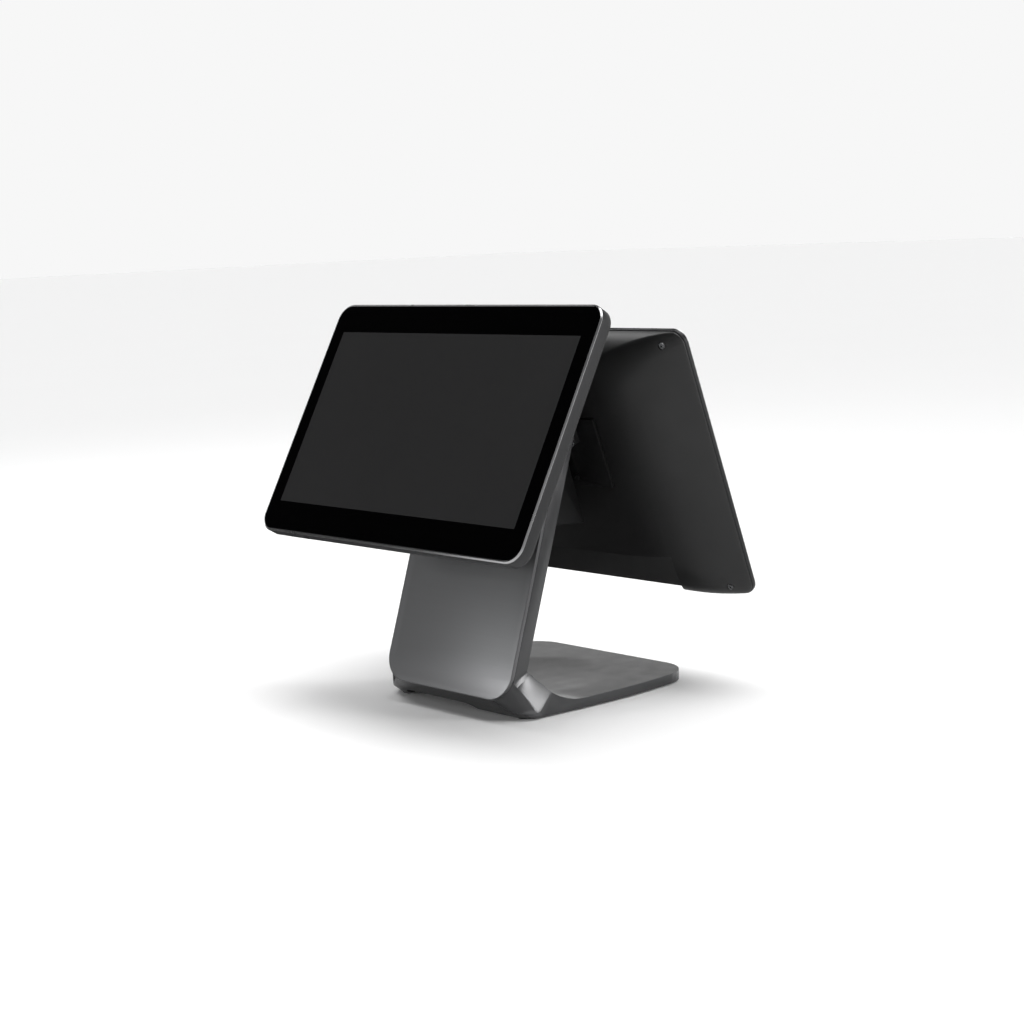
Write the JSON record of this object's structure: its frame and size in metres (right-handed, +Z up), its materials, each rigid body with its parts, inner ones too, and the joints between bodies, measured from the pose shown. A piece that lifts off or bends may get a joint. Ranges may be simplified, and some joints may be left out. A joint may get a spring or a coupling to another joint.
{
  "type": "pos touchscreen terminal",
  "caption": "Point-of-sale terminal on a folded slab stand, with an operator touchscreen in front and a customer display behind, each tilting on a friction hinge.",
  "frame": {"origin": "on the table, under the centre of the whole terminal's box", "axes": "+Z up, -Y towards the operator, +Y towards the customer, +X to the operator's right"},
  "size_m": [0.385, 0.3469, 0.4059],
  "materials": {
    "stand_metal": "dark satin anodised",
    "plate_metal": "dark satin anodised, brushed",
    "steel": "zinc plated",
    "rubber": "matt",
    "arm_metal": "powder coated",
    "shaft_steel": "ground",
    "bronze": "satin",
    "glass_black": "gloss",
    "rim_metal": "diamond cut rim",
    "cover_plastic": "fine texture",
    "panel": "matt",
    "board_green": "solder mask",
    "board_black": "moulded",
    "heat_metal": "bare",
    "button_plastic": "fine texture"
  },
  "bodies": {
    "stand": {"base_casting": "stand_metal", "base_bottom_cover": "steel", "ballast_plate": "steel", "rubber_feet": "rubber", "base_screws": "steel", "neck_shell": "stand_metal", "neck_front_cover": "plate_metal", "neck_spine": "steel", "neck_bolts": "steel", "front_arm": "arm_metal", "rear_arm": "arm_metal", "arm_bolts": "steel", "main_hinge_shaft": "shaft_steel", "rear_hinge_shaft": "shaft_steel", "friction_washers": "bronze", "shaft_nuts": "steel"},
    "main_display": {"main_glass": "glass_black", "main_bezel": "rim_metal", "main_lcd_panel": "panel", "main_chassis": "steel", "main_rear_cover": "cover_plastic", "main_hinge_leaf": "arm_metal", "main_leaf_screws": "steel", "mainboard": "board_green", "board_standoffs": "bronze", "heat_sink": "heat_metal", "memory_module": "board_green", "solid_state_drive": "board_black", "main_speakers": "board_black", "main_sockets": "steel", "main_cover_screws": "steel", "power_switch": "board_black"},
    "button": {"power_button": "button_plastic"},
    "rear_display": {"rear_glass": "glass_black", "rear_bezel": "rim_metal", "rear_lcd_panel": "panel", "rear_chassis": "steel", "rear_cover": "cover_plastic", "rear_hinge_leaf": "arm_metal", "rear_leaf_screws": "steel", "driver_board": "board_green", "rear_sockets": "steel", "rear_cover_screws": "steel"}
  },
  "joints": [
    {"name": "main_tilt", "type": "hinge", "parent": "stand", "child": "main_display", "pos_m": [0, -0.0419, 0.29171], "axis": [1, 0, 0], "range_deg": [-15, 20]},
    {"name": "rear_tilt", "type": "hinge", "parent": "stand", "child": "rear_display", "pos_m": [0, 0.04233, 0.26084], "axis": [1, 0, 0], "range_deg": [-8, 10]},
    {"name": "power_press", "type": "slide", "parent": "main_display", "child": "button", "axis": [0, 0.5, 0.866], "range_m": [0, 0.0008], "stiffness_N_per_m": 500}
  ]
}
